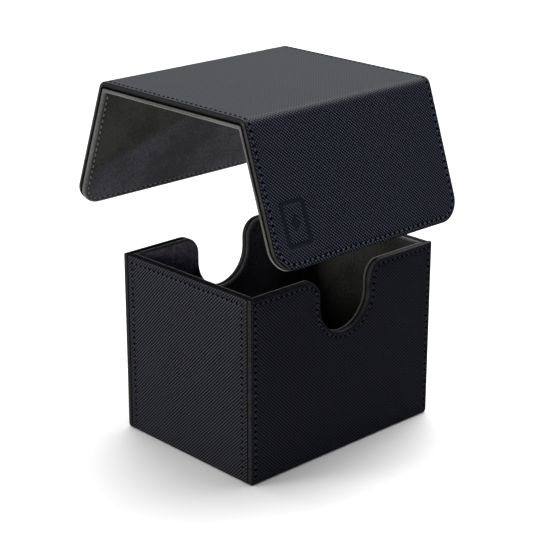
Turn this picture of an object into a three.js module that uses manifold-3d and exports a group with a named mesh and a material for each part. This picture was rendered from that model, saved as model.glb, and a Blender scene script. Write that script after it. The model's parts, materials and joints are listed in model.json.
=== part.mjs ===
// A card deck box: a fabric-covered board tray with a thumb notch in its front and back walls, and a
// separate lid that folds over it. The lid is three covered boards joined by two soft creases, and
// magnets hold its flaps to the tray. Here the lid is lifted off, with its flaps splayed.
// Millimetres, +Z up. The front wall faces -Y, and the origin is the middle of the tray's underside.
import * as THREE from "three";
import { mergeVertices } from "three/addons/utils/BufferGeometryUtils.js";
import Module from "manifold-3d";

const wasm = await Module();
wasm.setup();

// ---- Driving dimensions ----

// Every wall and panel is the same sandwich, counted inwards from its outer face.
const SKIN = 0.7; // textured covering
const GLUE = 0.1; // glue film between two layers
const BOARD = 1.6; // grey board
const LINING = 1.9; // soft lining
const SHELL = SKIN + GLUE + BOARD + GLUE; // depth to which the covering is turned in
const PANEL = SHELL + GLUE + LINING; // whole sandwich

const TRAY_WIDTH = 105; // along X
const TRAY_DEPTH = 79; // along Y
const TRAY_HEIGHT = 79.5;
const BOTTOM_FOLD_RADIUS = 1.5; // where the covering turns under the front and back walls
const LINING_DROP = 0.3; // how far the lining's edge sits below the rim

const NOTCH_HALF_WIDTH = 14.3; // also the radius of its round bottom
const NOTCH_DEPTH = 26.5; // below the rim
const NOTCH_SHOULDER_RADIUS = 8;

const LID_WIDTH = 104;
const LID_CLEARANCE = 0.3; // between the closed lid and the tray
const CREASE_GAP = 2.55; // from a crease's axis to the boards beside it
const FLAP_REACH = 58.2; // from a crease's axis to the flap's lower edge
const FLAP_CORNER_RADIUS = 10;
const FRONT_SPLAY = THREE.MathUtils.degToRad(19); // how far each flap stands out from vertical
const BACK_SPLAY = THREE.MathUtils.degToRad(20);
const LIFT_UP = 66.2; // how far the lid is shown from its closed place
const LIFT_BACK = 8.5;

const MAGNET_RADIUS = 5;
const MAGNET_THICKNESS = 1.4;
const MAGNET_POCKET_PLAY = 0.15;
const MAGNET_SPACING = 32; // from the middle of the wall
const MAGNET_DROP = 50; // below the crease's axis

const SEAM_INSET = 2.2; // from an edge to its row of stitches
const END_SEAM_INSET = 3.2; // the same on the tray's two ends
const SEAM_FOOT = 2.5; // where the upright rows start above the table
const GROOVE_WIDTH = 0.9;
const GROOVE_DEPTH = 0.4;
const THREAD_WIDTH = 0.5;
const THREAD_TOP = 0.05; // how far the thread lies below the surface
const THREAD_THICKNESS = 0.3;

// ---- Worked out from those ----

const CREASE_Y = TRAY_DEPTH / 2 + LID_CLEARANCE + PANEL / 2;
const CLOSED_CREASE_Z = TRAY_HEIGHT + LID_CLEARANCE + PANEL / 2;
const TRAY_MAGNET_HEIGHT = CLOSED_CREASE_Z - MAGNET_DROP;
const END_HALF_WIDTH = TRAY_DEPTH / 2 - SHELL - GLUE; // the ends stand between front and back
const BASE_HALF_LENGTH = TRAY_WIDTH / 2 - SHELL - GLUE;
const LINING_TOP = TRAY_HEIGHT - LINING_DROP;
const RIGHT_ANGLE = Math.PI / 2;

const materials = {
  covering: { color: 0x1b1c22, roughness: 0.55, metalness: 0 },
  lining: { color: 0x3a3a3b, roughness: 0.95, metalness: 0 },
  board: { color: 0x8d8578, roughness: 0.9, metalness: 0 },
  thread: { color: 0x0d0d10, roughness: 0.6, metalness: 0 },
  magnet: { color: 0xb9bcc0, roughness: 0.3, metalness: 1 },
};

// ---- Solids ----

function toSolid(geometry) {
  const bare = geometry.clone();
  bare.deleteAttribute("normal");
  bare.deleteAttribute("uv");
  const merged = mergeVertices(bare, 1e-4);
  return new wasm.Manifold(
    new wasm.Mesh({
      numProp: 3,
      vertProperties: merged.attributes.position.array,
      triVerts: new Uint32Array(merged.index.array),
    }),
  );
}

function toGeometry(solid) {
  const { vertProperties, triVerts } = solid.getMesh();
  return new THREE.BufferGeometry()
    .setAttribute("position", new THREE.BufferAttribute(vertProperties, 3))
    .setIndex(new THREE.BufferAttribute(triVerts, 1));
}

const join = (...parts) => toGeometry(parts.map(toSolid).reduce((all, part) => all.add(part)));

const cut = (body, ...tools) =>
  toGeometry(tools.map(toSolid).reduce((left, tool) => left.subtract(tool), toSolid(body)));

function box([lowX, lowY, lowZ], [highX, highY, highZ]) {
  return new THREE.BoxGeometry(highX - lowX, highY - lowY, highZ - lowZ).translate(
    (lowX + highX) / 2,
    (lowY + highY) / 2,
    (lowZ + highZ) / 2,
  );
}

// A flat shape given thickness along its own Z.
function slab(shape, low, high) {
  const options = { depth: high - low, bevelEnabled: false, curveSegments: 10 };
  return new THREE.ExtrudeGeometry(shape, options).translate(0, 0, low);
}

// A shape drawn in Y and Z, given length along X about the middle.
function alongX(shape, length) {
  const axes = new THREE.Matrix4().makeBasis(
    new THREE.Vector3(0, 1, 0),
    new THREE.Vector3(0, 0, 1),
    new THREE.Vector3(1, 0, 0),
  );
  return slab(shape, -length / 2, length / 2).applyMatrix4(axes);
}

function rod(radius, length) {
  return new THREE.CylinderGeometry(radius, radius, length, 24);
}

// ---- Places ----

// A panel's own frame has X along it, Y up it and Z out through its outer face, which is at Z = 0.
// turn goes about the vertical: 0 for the front, 90 degrees for the right end, and so on.
function panelFrame(turn, x, y, z, splay = 0) {
  const group = new THREE.Group();
  group.position.set(x, y, z);
  group.rotation.set(RIGHT_ANGLE - splay, 0, turn, "ZXY");
  group.updateMatrix();
  return group;
}

function add(group, name, material, geometry) {
  const mesh = new THREE.Mesh(geometry, new THREE.MeshStandardMaterial(materials[material]));
  mesh.name = name;
  group.add(mesh);
}

// ---- Outlines, in a panel's own X and Y ----

function rectangle(halfWidth, low, high) {
  return new THREE.Shape([
    new THREE.Vector2(-halfWidth, low),
    new THREE.Vector2(halfWidth, low),
    new THREE.Vector2(halfWidth, high),
    new THREE.Vector2(-halfWidth, high),
  ]);
}

// The edge of a notched wall from its right top corner to its left one, moved inwards by inset.
function notchedEdge(path, halfWidth, inset) {
  const top = TRAY_HEIGHT - inset;
  const shoulderX = NOTCH_HALF_WIDTH + NOTCH_SHOULDER_RADIUS;
  const shoulderY = TRAY_HEIGHT - NOTCH_SHOULDER_RADIUS;
  const shoulder = NOTCH_SHOULDER_RADIUS - inset;
  const bowlY = TRAY_HEIGHT - NOTCH_DEPTH + NOTCH_HALF_WIDTH;
  path.lineTo(halfWidth, top);
  path.lineTo(shoulderX, top);
  path.absarc(shoulderX, shoulderY, shoulder, RIGHT_ANGLE, Math.PI, false);
  path.absarc(0, bowlY, NOTCH_HALF_WIDTH + inset, 0, -Math.PI, true);
  path.absarc(-shoulderX, shoulderY, shoulder, 0, RIGHT_ANGLE, false);
  path.lineTo(-halfWidth, top);
}

function notchedWall(inset) {
  const halfWidth = TRAY_WIDTH / 2 - inset;
  const shape = new THREE.Shape();
  shape.moveTo(-halfWidth, inset);
  shape.lineTo(halfWidth, inset);
  notchedEdge(shape, halfWidth, inset);
  return shape;
}

// Everything above the notch's edge, which is taken out of both long walls at once.
function notchOpening() {
  const halfWidth = NOTCH_HALF_WIDTH + NOTCH_SHOULDER_RADIUS;
  const above = TRAY_HEIGHT + 5;
  const shape = new THREE.Shape();
  shape.moveTo(halfWidth, above);
  notchedEdge(shape, halfWidth, 0);
  shape.lineTo(-halfWidth, above);
  return shape;
}

function flapOutline(inset) {
  const halfWidth = LID_WIDTH / 2 - inset;
  const top = -CREASE_GAP - inset;
  const shape = new THREE.Shape();
  shape.moveTo(-halfWidth, top);
  flapEdge(shape, halfWidth, inset);
  shape.lineTo(halfWidth, top);
  return shape;
}

// Down a flap's left side, round both lower corners to its right side.
function flapEdge(path, halfWidth, inset) {
  const radius = FLAP_CORNER_RADIUS - inset;
  const cornerX = LID_WIDTH / 2 - FLAP_CORNER_RADIUS;
  const cornerY = -FLAP_REACH + FLAP_CORNER_RADIUS;
  path.lineTo(-halfWidth, cornerY);
  path.absarc(-cornerX, cornerY, radius, Math.PI, 1.5 * Math.PI, false);
  path.absarc(cornerX, cornerY, radius, 1.5 * Math.PI, 2 * Math.PI, false);
}

const endOutline = (inset) => rectangle(END_HALF_WIDTH - inset, inset, TRAY_HEIGHT - inset);

const topOutline = (inset) =>
  rectangle(LID_WIDTH / 2 - inset, -CREASE_Y + CREASE_GAP + inset, CREASE_Y - CREASE_GAP - inset);

// ---- Seams ----

function wallSeam() {
  const halfWidth = TRAY_WIDTH / 2 - SEAM_INSET;
  const path = new THREE.Path();
  path.moveTo(halfWidth, SEAM_FOOT);
  notchedEdge(path, halfWidth, SEAM_INSET);
  path.lineTo(-halfWidth, SEAM_FOOT);
  return path.getPoints(10);
}

function endSeam() {
  const halfWidth = END_HALF_WIDTH - END_SEAM_INSET;
  const top = TRAY_HEIGHT - END_SEAM_INSET;
  return [
    new THREE.Vector2(-halfWidth, SEAM_FOOT),
    new THREE.Vector2(-halfWidth, top),
    new THREE.Vector2(halfWidth, top),
    new THREE.Vector2(halfWidth, SEAM_FOOT),
  ];
}

function flapSeam() {
  const halfWidth = LID_WIDTH / 2 - SEAM_INSET;
  const top = -CREASE_GAP - SEAM_INSET / 2;
  const path = new THREE.Path();
  path.moveTo(-halfWidth, top);
  flapEdge(path, halfWidth, SEAM_INSET);
  path.lineTo(halfWidth, top);
  return path.getPoints(10);
}

function topSeam(side) {
  const x = side * (LID_WIDTH / 2 - SEAM_INSET);
  const reach = CREASE_Y - CREASE_GAP - SEAM_INSET / 2;
  return [new THREE.Vector2(x, -reach), new THREE.Vector2(x, reach)];
}

// A strip of even width along a row of points, mitred where the row turns.
function strip(points, width) {
  const row = points.filter((point, i) => i === 0 || point.distanceTo(points[i - 1]) > 1e-6);
  const sideways = (a, b) => new THREE.Vector2(a.y - b.y, b.x - a.x).normalize();
  const offsets = row.map((point, i) => {
    const before = sideways(row[Math.max(i - 1, 0)], row[Math.max(i, 1)]);
    const after = sideways(row[Math.min(i, row.length - 2)], row[Math.min(i + 1, row.length - 1)]);
    const middle = before.clone().add(after).normalize();
    return middle.multiplyScalar(width / 2 / middle.dot(after));
  });
  const left = row.map((point, i) => point.clone().add(offsets[i]));
  const right = row.map((point, i) => point.clone().sub(offsets[i]));
  const outline = [...left, ...right.reverse()];
  if (THREE.ShapeUtils.isClockWise(outline)) outline.reverse();
  return new THREE.Shape(outline);
}

const groove = (seam) => slab(strip(seam, GROOVE_WIDTH), -GROOVE_DEPTH, 1);

const thread = (seam) =>
  slab(strip(seam, THREAD_WIDTH), -THREAD_TOP - THREAD_THICKNESS, -THREAD_TOP);

// ---- Layers of a panel ----

// The hollow that the board sits in: the covering is turned in round it on every side.
const pocket = (outline) => slab(outline(SKIN), -SHELL - 1, -SKIN);

const magnetX = (side, turn) => side * MAGNET_SPACING * (turn === 0 ? 1 : -1);

function magnetDisc(side, turn, y, play) {
  return rod(MAGNET_RADIUS + play, play ? 2 * BOARD : MAGNET_THICKNESS)
    .rotateX(RIGHT_ANGLE)
    .translate(magnetX(side, turn), y, -SKIN - GLUE - BOARD / 2);
}

function boardSlab(outline) {
  return slab(outline(SKIN + GLUE), -SKIN - GLUE - BOARD, -SKIN - GLUE);
}

const sides = { left: -1, right: 1 };

// A board with its two magnets let into it.
function addMagneticBoard(group, name, outline, turn, magnetY) {
  const holes = Object.values(sides).map((side) =>
    magnetDisc(side, turn, magnetY, MAGNET_POCKET_PLAY),
  );
  add(group, `${name}_board`, "board", cut(boardSlab(outline), ...holes));
  for (const [sideName, side] of Object.entries(sides)) {
    add(group, `${name}_magnet_${sideName}`, "magnet", magnetDisc(side, turn, magnetY, 0));
  }
}

// ---- Tray ----

// A U of even thickness in Y and Z, open at the top, with its folds rounded outside.
function trayProfile(halfDepth, low, high, thickness, radius) {
  const shape = new THREE.Shape();
  shape.moveTo(-halfDepth, high);
  shape.lineTo(-halfDepth, low + radius);
  shape.absarc(-halfDepth + radius, low + radius, radius, Math.PI, 1.5 * Math.PI, false);
  shape.absarc(halfDepth - radius, low + radius, radius, 1.5 * Math.PI, 2 * Math.PI, false);
  shape.lineTo(halfDepth, high);
  shape.lineTo(halfDepth - thickness, high);
  shape.lineTo(halfDepth - thickness, low + thickness);
  shape.lineTo(-halfDepth + thickness, low + thickness);
  shape.lineTo(-halfDepth + thickness, high);
  return shape;
}

function makeTray() {
  const tray = new THREE.Group();
  const front = panelFrame(0, 0, -TRAY_DEPTH / 2, 0);
  const back = panelFrame(Math.PI, 0, TRAY_DEPTH / 2, 0);
  const left = panelFrame(-RIGHT_ANGLE, -TRAY_WIDTH / 2, 0, 0);
  const right = panelFrame(RIGHT_ANGLE, TRAY_WIDTH / 2, 0, 0);
  tray.add(front, back, left, right);

  const inner = TRAY_DEPTH / 2 - SHELL;
  const notch = slab(notchOpening(), -TRAY_DEPTH - 5, 5).applyMatrix4(front.matrix);
  const slots = Object.values(sides).map((side) => {
    const ends = [side * BASE_HALF_LENGTH, (side * (TRAY_WIDTH + 2)) / 2].sort((a, b) => a - b);
    return box([ends[0], -inner, -1], [ends[1], inner, TRAY_HEIGHT + 1]);
  });
  const basePocket = box(
    [-BASE_HALF_LENGTH + SKIN, -inner - GLUE, SKIN],
    [BASE_HALF_LENGTH - SKIN, inner + GLUE, SHELL + 1],
  );
  const wallCuts = [front, back].flatMap((wall) =>
    [pocket(notchedWall), groove(wallSeam())].map((tool) => tool.applyMatrix4(wall.matrix)),
  );

  // One piece of covering runs down the front wall, under the base and up the back wall.
  const profile = trayProfile(TRAY_DEPTH / 2, 0, TRAY_HEIGHT, SHELL, BOTTOM_FOLD_RADIUS);
  const blank = alongX(profile, TRAY_WIDTH);
  add(tray, "tray_cover", "covering", cut(blank, notch, ...slots, basePocket, ...wallCuts));

  const baseBoard = box(
    [-BASE_HALF_LENGTH + SKIN + GLUE, -inner, SKIN + GLUE],
    [BASE_HALF_LENGTH - SKIN - GLUE, inner, SKIN + GLUE + BOARD],
  );
  add(tray, "base_board", "board", baseBoard);

  // The lining follows the same way inside.
  const liningProfile = trayProfile(inner - GLUE, SHELL + GLUE, LINING_TOP, LINING, 0.5);
  add(tray, "tray_lining", "lining", cut(alongX(liningProfile, 2 * BASE_HALF_LENGTH), notch));

  for (const [name, wall, turn] of [["front", front, 0], ["back", back, Math.PI]]) {
    addMagneticBoard(wall, `${name}_wall`, notchedWall, turn, TRAY_MAGNET_HEIGHT);
    add(wall, `${name}_wall_stitching`, "thread", thread(wallSeam()));
  }

  const liningFloor = SHELL + GLUE + LINING + GLUE;
  const liningHalfWidth = inner - GLUE - LINING - GLUE;
  for (const [name, end] of [["left", left], ["right", right]]) {
    const body = slab(endOutline(0), -SHELL, 0);
    add(end, `${name}_end_cover`, "covering", cut(body, pocket(endOutline), groove(endSeam())));
    add(end, `${name}_end_board`, "board", boardSlab(endOutline));
    add(end, `${name}_end_stitching`, "thread", thread(endSeam()));
    const lining = rectangle(liningHalfWidth, liningFloor, LINING_TOP);
    add(end, `${name}_end_lining`, "lining", slab(lining, -PANEL, -SHELL - GLUE));
  }
  return tray;
}

// ---- Lid ----

function makeLidTop() {
  const top = new THREE.Group();
  top.position.z = PANEL / 2;
  const rolls = [-1, 1].map((side) =>
    rod(PANEL / 2, LID_WIDTH).rotateZ(RIGHT_ANGLE).translate(0, side * CREASE_Y, -PANEL / 2),
  );
  const web = box([-LID_WIDTH / 2, -CREASE_Y, -SKIN], [LID_WIDTH / 2, CREASE_Y, 0]);
  const cover = cut(slab(topOutline(0), -SHELL, 0), pocket(topOutline));
  const seams = Object.entries(sides).map(([name, side]) => [name, topSeam(side)]);

  // The covering carries the two soft rolls that the flaps turn on.
  const whole = join(cover, web, ...rolls);
  add(top, "lid_top_cover", "covering", cut(whole, ...seams.map(([, seam]) => groove(seam))));
  add(top, "lid_top_board", "board", boardSlab(topOutline));
  add(top, "lid_top_lining", "lining", slab(topOutline(0), -PANEL, -SHELL - GLUE));
  for (const [name, seam] of seams) {
    add(top, `lid_top_${name}_stitching`, "thread", thread(seam));
  }
  return top;
}

function makeFlap(name, turn, splay) {
  const outward = turn === 0 ? -1 : 1;
  const hinge = panelFrame(turn, 0, outward * CREASE_Y, 0, splay);
  const flap = new THREE.Group();
  flap.position.z = PANEL / 2;
  hinge.add(flap);
  const body = slab(flapOutline(0), -SHELL, 0);
  add(flap, `${name}_cover`, "covering", cut(body, pocket(flapOutline), groove(flapSeam())));
  addMagneticBoard(flap, name, flapOutline, turn, -MAGNET_DROP);
  add(flap, `${name}_lining`, "lining", slab(flapOutline(0), -PANEL, -SHELL - GLUE));
  add(flap, `${name}_stitching`, "thread", thread(flapSeam()));
  return hinge;
}

function makeLid() {
  const lid = new THREE.Group();
  lid.position.set(0, LIFT_BACK, CLOSED_CREASE_Z + LIFT_UP);
  lid.add(
    makeLidTop(),
    makeFlap("front_flap", 0, FRONT_SPLAY),
    makeFlap("back_flap", Math.PI, BACK_SPLAY),
  );
  return lid;
}

const deckBox = new THREE.Group();
deckBox.add(makeTray(), makeLid());

export default deckBox;
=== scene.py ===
# %% [markdown]
# # A covered card deck box
#
# The box is made the way a bookbinder makes a case. Stiff boards are wrapped in a black imitation
# leather with a woven emboss, a soft lining is glued inside, and a seam runs round every edge. It has
# a tray, and a lid whose three panels turn on soft creases. We keep the boards and magnets that came
# with the frame, and build the covering, linings and seams again with the detail that a hand feels.

# %% Load the frame
import functools
import json
import math

import bmesh
import bpy
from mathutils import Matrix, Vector, noise
from mathutils.geometry import delaunay_2d_cdt


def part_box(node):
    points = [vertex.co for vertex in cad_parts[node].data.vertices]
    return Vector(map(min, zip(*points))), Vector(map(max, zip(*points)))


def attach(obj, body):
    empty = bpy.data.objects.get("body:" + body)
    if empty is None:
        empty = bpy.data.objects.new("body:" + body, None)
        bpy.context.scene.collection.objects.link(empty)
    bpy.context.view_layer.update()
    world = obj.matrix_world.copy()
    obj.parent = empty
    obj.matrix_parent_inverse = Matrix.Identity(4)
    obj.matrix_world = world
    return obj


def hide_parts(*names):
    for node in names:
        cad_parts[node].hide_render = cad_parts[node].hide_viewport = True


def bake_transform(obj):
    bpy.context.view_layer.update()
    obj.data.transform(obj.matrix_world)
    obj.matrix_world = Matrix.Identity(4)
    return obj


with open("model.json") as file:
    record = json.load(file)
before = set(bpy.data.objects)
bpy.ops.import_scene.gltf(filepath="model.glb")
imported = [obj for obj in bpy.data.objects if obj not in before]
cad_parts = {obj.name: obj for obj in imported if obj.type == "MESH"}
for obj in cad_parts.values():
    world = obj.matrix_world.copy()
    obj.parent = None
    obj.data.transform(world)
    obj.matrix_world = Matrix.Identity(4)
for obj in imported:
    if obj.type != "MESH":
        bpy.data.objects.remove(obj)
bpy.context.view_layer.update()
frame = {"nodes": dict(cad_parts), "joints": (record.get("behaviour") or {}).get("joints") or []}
joints = {joint["name"]: joint for joint in frame["joints"]}

# %% [markdown]
# ## Sizes
#
# Everything below is worked out in millimetres, as a maker would, and turned into metres only when a
# point is placed. Most sizes are read from the frame, so that the pieces always fit it. A name is
# given to each one that the frame's boxes can't tell us.

# %% Sizes read from the frame
MM = 0.001


def box_mm(node):
    low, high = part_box(node)
    return low / MM, high / MM


tray_low, tray_high = box_mm("tray_cover")
end_lining_low, end_lining_high = box_mm("left_end_lining")
tray_lining_low, tray_lining_high = box_mm("tray_lining")
end_cover_low, end_cover_high = box_mm("left_end_cover")
lid_high = box_mm("lid_top_cover")[1]

TRAY_HALF_WIDTH = tray_high.x
TRAY_HALF_DEPTH = tray_high.y
TRAY_HEIGHT = tray_high.z
END_HALF_WIDTH = end_cover_high.y
SHELL = end_cover_high.x - end_cover_low.x
LINING_START = end_lining_low.x - tray_low.x
LINING = end_lining_high.x - end_lining_low.x
SKIN = 0.7
LID_HALF_WIDTH = lid_high.x
LID_TOP = lid_high.z
print(f"tray {2 * TRAY_HALF_WIDTH:.1f} x {2 * TRAY_HALF_DEPTH:.1f} x {TRAY_HEIGHT:.1f} mm")
print(f"covering wraps {SHELL:.1f} mm deep, lining {LINING:.1f} mm thick")

# %% Sizes of the creases
front_crease = Vector(joints["front_flap_fold"]["pos_m"]) / MM
back_crease = Vector(joints["back_flap_fold"]["pos_m"]) / MM
LID_MIDDLE = (front_crease.y + back_crease.y) / 2
CREASE_REACH = (back_crease.y - front_crease.y) / 2
CREASE_DEPTH = LID_TOP - front_crease.z
FLAP_REACH = 58.2
FLAP_CORNER = 10
BEND_RADIUS = 4.0


def splay(joint):
    """A flap hangs upright at its lower limit, so the limit tells how far it stands out at rest."""
    return math.radians(-joints[joint]["range_deg"][0])


bend = {side: math.pi / 2 - splay(f"{side}_flap_fold") for side in ("front", "back")}
print("creases bend", {side: round(math.degrees(angle)) for side, angle in bend.items()}, "degrees")

# %% [markdown]
# ## Folding a flat sheet
#
# A sheet of covering is easiest to draw flat, just as it is cut. Each point has u across the strip, s
# along it, and w, its height above the outer face. A fold then rolls the flat strip round an arc.
# A cloth simulation could bend it too, but it would settle differently each time. Drawing flat also
# gives us perfect texture coordinates, because the cut sheet is its own UV map.

# %% Roll a strip round a fold
def fold(s, w, flat, radius, angle):
    """Where a point of the strip goes, as (distance out, height), when the strip bends down."""
    end = flat + radius * angle
    reach = radius + w
    mitre = min(reach, 0) * math.tan(angle / 2)
    if s <= (flat + end) / 2 and (s <= flat or reach < 0):
        return min(s, flat + mitre), w
    turn = angle if reach < 0 else min((s - flat) / radius, angle)
    beyond = max(s - end, -mitre)
    out = flat + reach * math.sin(turn) + beyond * math.cos(angle)
    height = -radius + reach * math.cos(turn) - beyond * math.sin(angle)
    return out, height


def folded_place(side, middle, level, flat, radius, angle, upward=1):
    """A function that puts a flat point into the row frame. upward is 1 for a lid, -1 for a tray."""
    sign = -1 if side == "front" else 1

    def place(u, s, w):
        out, height = fold(s, w, flat, radius, angle)
        return Vector((u, middle + sign * out, level + upward * height)) * MM

    return place


def end_place(side, face):
    """Puts a flat point onto an end wall, whose outer face is at face from the middle."""
    sign = -1 if side == "left" else 1

    def place(u, s, w):
        return Vector((sign * (face + w), u, s)) * MM

    return place


print("a point 3 mm past a fold lands at", [round(v, 2) for v in fold(13, 0, 10, 1.5, math.pi / 2)])

# %% [markdown]
# ## Outlines
#
# An outline is a function of an inset, so the same outline gives the edge itself, the rounding beside
# it and the row of stitches further in. Round stretches are arcs about fixed centres, which is what
# keeps each inset copy parallel to the edge.

# %% Points on arcs and lines
def spread(start, end, count):
    """Evenly spaced values from start to end, both included. Every inset copy needs the same count."""
    return [start + (end - start) * i / count for i in range(count + 1)]


def steps(start, end, size):
    """Even steps from start to end, both included, none longer than size."""
    return spread(start, end, max(1, math.ceil(abs(end - start) / size)))


def arc(centre, radius, start, end, size=7.5):
    """Points round a centre. Angles are in degrees."""
    angles = [math.radians(a) for a in steps(start, end, size)]
    return [(centre[0] + radius * math.cos(a), centre[1] + radius * math.sin(a)) for a in angles]


BESIDE_FOLD = (1.4, 1.05, 0.7, 0.35)
FOLD_STEP = math.radians(8)


def stations(flat, radius, angle, end, size=4.0):
    """Where a strip gets cross lines: sparse where it stays flat, close together round the fold."""
    past = flat + radius * angle
    before = steps(0, flat - 1.8, size) + [flat - gap for gap in BESIDE_FOLD]
    after = [past + gap for gap in reversed(BESIDE_FOLD)] + steps(past + 1.8, end, size)
    return before + steps(flat, past, radius * FOLD_STEP) + after


print("lines across a strip with one fold:", len(stations(10, 1.5, math.pi / 2, 60)))


# %% The lid's outline
lid_flat = {}
lid_end = {}
for side, angle in bend.items():
    saved = (BEND_RADIUS - CREASE_DEPTH) * math.tan(angle / 2)
    lid_flat[side] = CREASE_REACH - saved
    lid_end[side] = lid_flat[side] + BEND_RADIUS * angle + FLAP_REACH - saved


def lid_outline(side, inset):
    """From the lid's middle along its right edge, round the flap and back along its left edge."""
    end = lid_end[side]
    corner = (LID_HALF_WIDTH - FLAP_CORNER, end - FLAP_CORNER)
    radius = FLAP_CORNER - inset
    rows = stations(lid_flat[side], BEND_RADIUS, bend[side], corner[1])[:-1]
    right = [(LID_HALF_WIDTH - inset, s) for s in rows]
    right += arc(corner, radius, 0, 90)
    bottom = [(u, end - inset) for u in steps(corner[0], -corner[0], 4)[1:-1]]
    left = [(-u, s) for u, s in reversed(right)]
    return right + bottom + left


print(f"each half of the lid's strip is {lid_end['front']:.1f} and {lid_end['back']:.1f} mm long")

# %% The tray's outline
NOTCH_HALF_WIDTH = 14.3
NOTCH_DEPTH = 26.5
NOTCH_SHOULDER = 8.0
BOTTOM_RADIUS = 1.5
JOINT_GAP = 0.1
LIP_INSET = 0.6
BASE_HALF_LENGTH = TRAY_HALF_WIDTH - SHELL - JOINT_GAP
tray_flat = TRAY_HALF_DEPTH - BOTTOM_RADIUS
tray_rim = tray_flat + BOTTOM_RADIUS * math.pi / 2 + TRAY_HEIGHT - BOTTOM_RADIUS


def notched_rim(rim, inset, drop=0):
    """The upper edge of a notched wall, from beside its right corner to its left one."""
    shoulder_u = NOTCH_HALF_WIDTH + NOTCH_SHOULDER
    shoulder = (shoulder_u, rim + drop - NOTCH_SHOULDER)
    bowl = (0, rim + drop - NOTCH_DEPTH + NOTCH_HALF_WIDTH)
    right = [(u, rim - inset) for u in spread(TRAY_HALF_WIDTH - 4, shoulder_u, 7)[:-1]]
    right += [(u, min(s, rim - inset)) for u, s in arc(shoulder, NOTCH_SHOULDER - inset, 90, 180)]
    right += [(NOTCH_HALF_WIDTH + inset, s) for s in spread(shoulder[1], bowl[1], 3)[1:-1]]
    left = [(-u, s) for u, s in reversed(right)]
    return right + arc(bowl, NOTCH_HALF_WIDTH + inset, 0, -180) + left


def tray_outline(inset):
    """Half of the strip that makes the base and one wall. It widens where the ends leave off.

    Past the turned lip the base hardly narrows, so that the step keeps its shape in every copy.
    """
    tight = min(inset, LIP_INSET) + max(inset - LIP_INSET, 0) * 0.05
    step = END_HALF_WIDTH + JOINT_GAP + tight
    rows = stations(tray_flat, BOTTOM_RADIUS, math.pi / 2, tray_rim - 4)
    side = [(BASE_HALF_LENGTH - tight, s) for s in rows if s < END_HALF_WIDTH - 0.3]
    side += [(BASE_HALF_LENGTH - tight, step), (TRAY_HALF_WIDTH - inset, step)]
    side += [(TRAY_HALF_WIDTH - inset, s) for s in rows if s > END_HALF_WIDTH + 1]
    side += [(TRAY_HALF_WIDTH - inset, tray_rim - inset)]
    return side + notched_rim(tray_rim, inset) + [(-u, s) for u, s in reversed(side)]


def rectangle_outline(half, low, high):
    """An outline function for a plain rectangle."""

    def outline(inset):
        left, right = -half + inset, half - inset
        down, up = low + inset, high - inset
        bottom = [(u, down) for u in spread(left, right, 16)[:-1]]
        rising = [(right, s) for s in spread(down, up, 16)[:-1]]
        top = [(u, up) for u in spread(right, left, 16)[:-1]]
        falling = [(left, s) for s in spread(up, down, 16)[:-1]]
        return bottom + rising + top + falling

    return outline


end_outline = rectangle_outline(END_HALF_WIDTH, 0, TRAY_HEIGHT)
print("points round the tray's strip:", len(tray_outline(0)), "and", len(tray_outline(3.2)))

# %% [markdown]
# ## Turning an outline into a sheet
#
# Solidify and Bevel modifiers would give every edge the same simple curve. A glued, turned edge isn't
# simple, so we list a profile: how the sheet goes from its outer face, over the rounded edge, to its
# inner face. Each step of it is one inset copy of the outline at one depth. Quads join neighbouring
# copies, and triangles whose corners we choose fill the two faces, so they can carry fine relief.

# %% Fill the middle of a face
EDGE_CLEARANCE = 1.2


def inside(point, loop):
    """Even-odd test: does a ray from the point cross the loop an odd number of times?"""
    u, s = point
    odd = False
    for (u0, s0), (u1, s1) in zip(loop, loop[1:] + loop[:1]):
        if (s0 > s) != (s1 > s) and u < (u1 - u0) * (s - s0) / (s1 - s0) + u0:
            odd = not odd
    return odd


def clear_of(point, loop):
    return all(math.dist(point, corner) > EDGE_CLEARANCE for corner in loop)


def fill(loop, extra):
    """Triangles over a loop, using the extra points that lie well inside it."""
    points = [Vector(p) for p in loop + extra]
    edges = [(i, (i + 1) % len(loop)) for i in range(len(loop))]
    found = delaunay_2d_cdt(points, edges, [], 1, 1e-6)
    source = [first[0] for first in found[3]]
    return [[source[i] for i in face] for face in found[2]]


square = [(0, 0), (4, 0), (4, 4), (0, 4)]
print("a square with a point in its middle fills with", len(fill(square, [(2, 2)])), "triangles")


# %% Build a sheet in a mesh
def flat_relief(u, s):
    return 0.0


def cut_layer(mesh):
    """Where a mesh keeps each point's place on the flat, cut sheet, in millimetres."""
    layers = mesh.verts.layers.float_vector
    return layers.get("cut") or layers.new("cut")


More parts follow.
